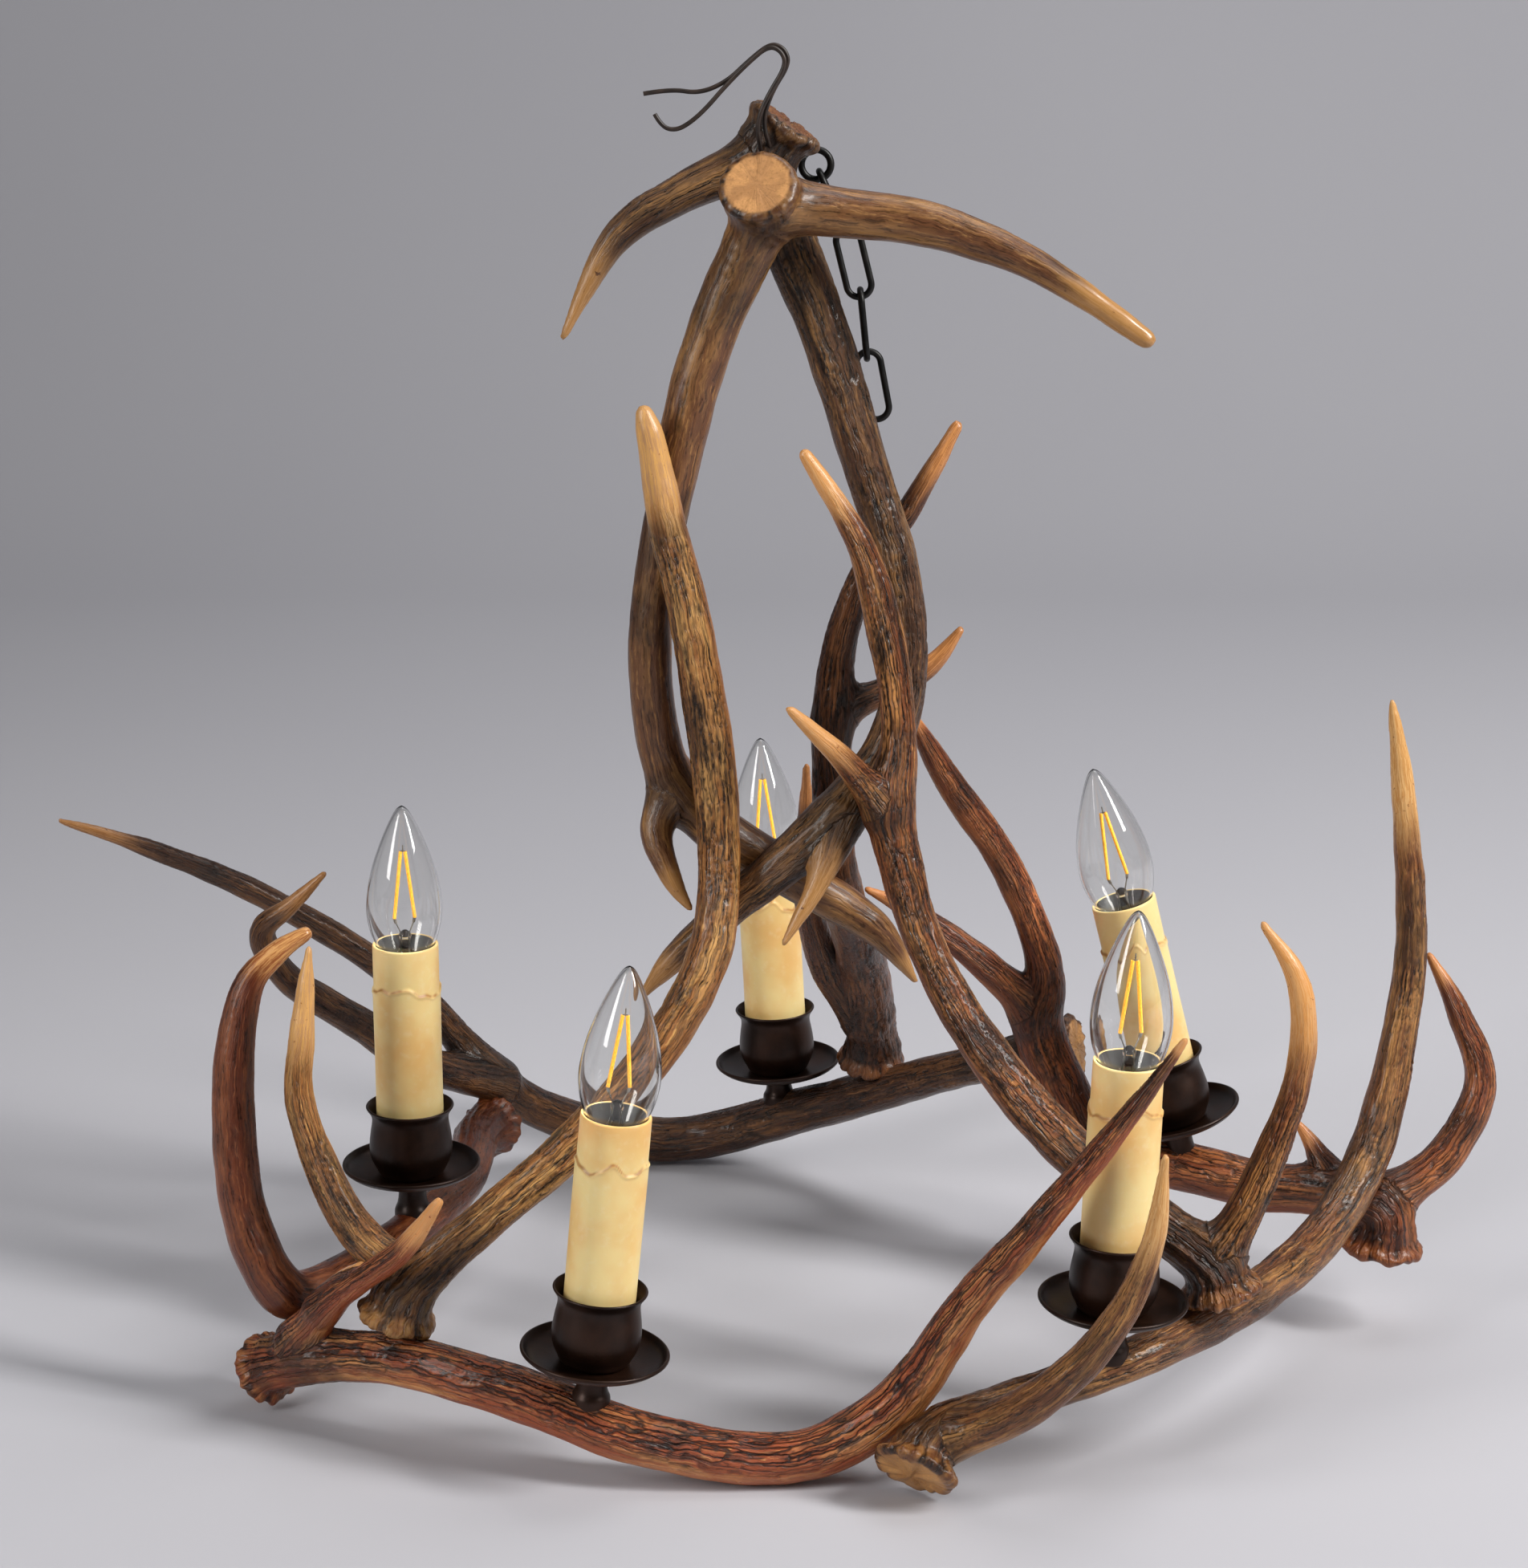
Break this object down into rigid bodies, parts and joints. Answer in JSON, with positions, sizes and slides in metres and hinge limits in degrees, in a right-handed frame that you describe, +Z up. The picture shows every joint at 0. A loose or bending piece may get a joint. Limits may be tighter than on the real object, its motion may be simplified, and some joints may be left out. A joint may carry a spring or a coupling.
{
  "type": "antler chandelier",
  "caption": "Chandelier of branched antlers: a ring carries candle lamps, uprights rise to a crossed crown that hangs from an eye and a short chain.",
  "frame": {"origin": "centre of the hanging eye at the top of the crown", "axes": "+Z up, away from the ring; +X along the longest way of the ring, to the right as pictured; +Y to the back"},
  "size_m": [0.6924, 0.4352, 0.6012],
  "materials": {
    "antler_red_brown": "satin, grooved antler with pale polished tips",
    "antler_golden": "satin, grooved antler with pale polished tips",
    "antler_dark": "satin, grooved antler with pale polished tips",
    "antler_grey_brown": "satin, grooved antler with a pale sawn face",
    "screw_steel": "dull",
    "dark_bronze": "satin dark bronze",
    "lampholder_black": "matt",
    "candle_cream": "satin cream with a brown drip line",
    "bulb_glass": "clear",
    "bulb_cap_nickel": "bright",
    "filament_yellow": "yellow phosphor",
    "black_iron": "satin black",
    "flex_brown": "satin"
  },
  "bodies": {
    "frame": {"ring_antler_front": "antler_red_brown", "ring_antler_right_front": "antler_golden", "ring_antler_right_back": "antler_red_brown", "ring_antler_back": "antler_dark", "ring_antler_left": "antler_red_brown", "upright_antler_left": "antler_golden", "upright_antler_right": "antler_red_brown", "upright_antler_back": "antler_dark", "crown_antler_left": "antler_grey_brown", "crown_antler_right": "antler_grey_brown", "joint_screws": "screw_steel", "left_lamp_stem": "dark_bronze", "left_drip_dish": "dark_bronze", "left_candle_cup": "dark_bronze", "left_lampholder": "lampholder_black", "left_candle_sleeve": "candle_cream", "front_lamp_stem": "dark_bronze", "front_drip_dish": "dark_bronze", "front_candle_cup": "dark_bronze", "front_lampholder": "lampholder_black", "front_candle_sleeve": "candle_cream", "right_front_lamp_stem": "dark_bronze", "right_front_drip_dish": "dark_bronze", "right_front_candle_cup": "dark_bronze", "right_front_lampholder": "lampholder_black", "right_front_candle_sleeve": "candle_cream", "right_back_lamp_stem": "dark_bronze", "right_back_drip_dish": "dark_bronze", "right_back_candle_cup": "dark_bronze", "right_back_lampholder": "lampholder_black", "right_back_candle_sleeve": "candle_cream", "back_lamp_stem": "dark_bronze", "back_drip_dish": "dark_bronze", "back_candle_cup": "dark_bronze", "back_lampholder": "lampholder_black", "back_candle_sleeve": "candle_cream", "hanging_eye": "black_iron", "flex_core_left": "flex_brown", "flex_core_right": "flex_brown"},
    "left_bulb": {"left_bulb_glass": "bulb_glass", "left_bulb_cap": "bulb_cap_nickel", "left_bulb_filament": "filament_yellow"},
    "front_bulb": {"front_bulb_glass": "bulb_glass", "front_bulb_cap": "bulb_cap_nickel", "front_bulb_filament": "filament_yellow"},
    "right_front_bulb": {"right_front_bulb_glass": "bulb_glass", "right_front_bulb_cap": "bulb_cap_nickel", "right_front_bulb_filament": "filament_yellow"},
    "right_back_bulb": {"right_back_bulb_glass": "bulb_glass", "right_back_bulb_cap": "bulb_cap_nickel", "right_back_bulb_filament": "filament_yellow"},
    "back_bulb": {"back_bulb_glass": "bulb_glass", "back_bulb_cap": "bulb_cap_nickel", "back_bulb_filament": "filament_yellow"},
    "chain_link_1": {"chain_link_1": "black_iron"},
    "chain_link_2": {"chain_link_2": "black_iron"},
    "chain_link_3": {"chain_link_3": "black_iron"},
    "chain_link_4": {"chain_link_4": "black_iron"}
  },
  "joints": [
    {"name": "left_bulb_unscrew", "type": "slide", "parent": "frame", "child": "left_bulb", "axis": [0, 0, 1], "range_m": [0, 0.045]},
    {"name": "front_bulb_unscrew", "type": "slide", "parent": "frame", "child": "front_bulb", "axis": [0.0958, 0, 0.9954], "range_m": [0, 0.045]},
    {"name": "right_front_bulb_unscrew", "type": "slide", "parent": "frame", "child": "right_front_bulb", "axis": [0.0349, 0, 0.9994], "range_m": [0, 0.045]},
    {"name": "right_back_bulb_unscrew", "type": "slide", "parent": "frame", "child": "right_back_bulb", "axis": [-0.2419, 0, 0.9703], "range_m": [0, 0.045]},
    {"name": "back_bulb_unscrew", "type": "slide", "parent": "frame", "child": "back_bulb", "axis": [-0.0523, 0, 0.9986], "range_m": [0, 0.045]},
    {"name": "chain_hinge_1", "type": "hinge", "parent": "frame", "child": "chain_link_1", "pos_m": [0.00137, 0, -0.00295], "axis": [0, -1, 0], "range_deg": [0, 100]},
    {"name": "chain_hinge_2", "type": "hinge", "parent": "chain_link_1", "child": "chain_link_2", "pos_m": [0.01448, 0, -0.03104], "axis": [0, -1, 0], "range_deg": [0, 35]},
    {"name": "chain_hinge_3", "type": "hinge", "parent": "chain_link_2", "child": "chain_link_3", "pos_m": [0.01988, 0, -0.05521], "axis": [0, -1, 0], "range_deg": [0, 35]},
    {"name": "chain_hinge_4", "type": "hinge", "parent": "chain_link_3", "child": "chain_link_4", "pos_m": [0.02312, 0, -0.08604], "axis": [0, -1, 0], "range_deg": [0, 35]}
  ]
}
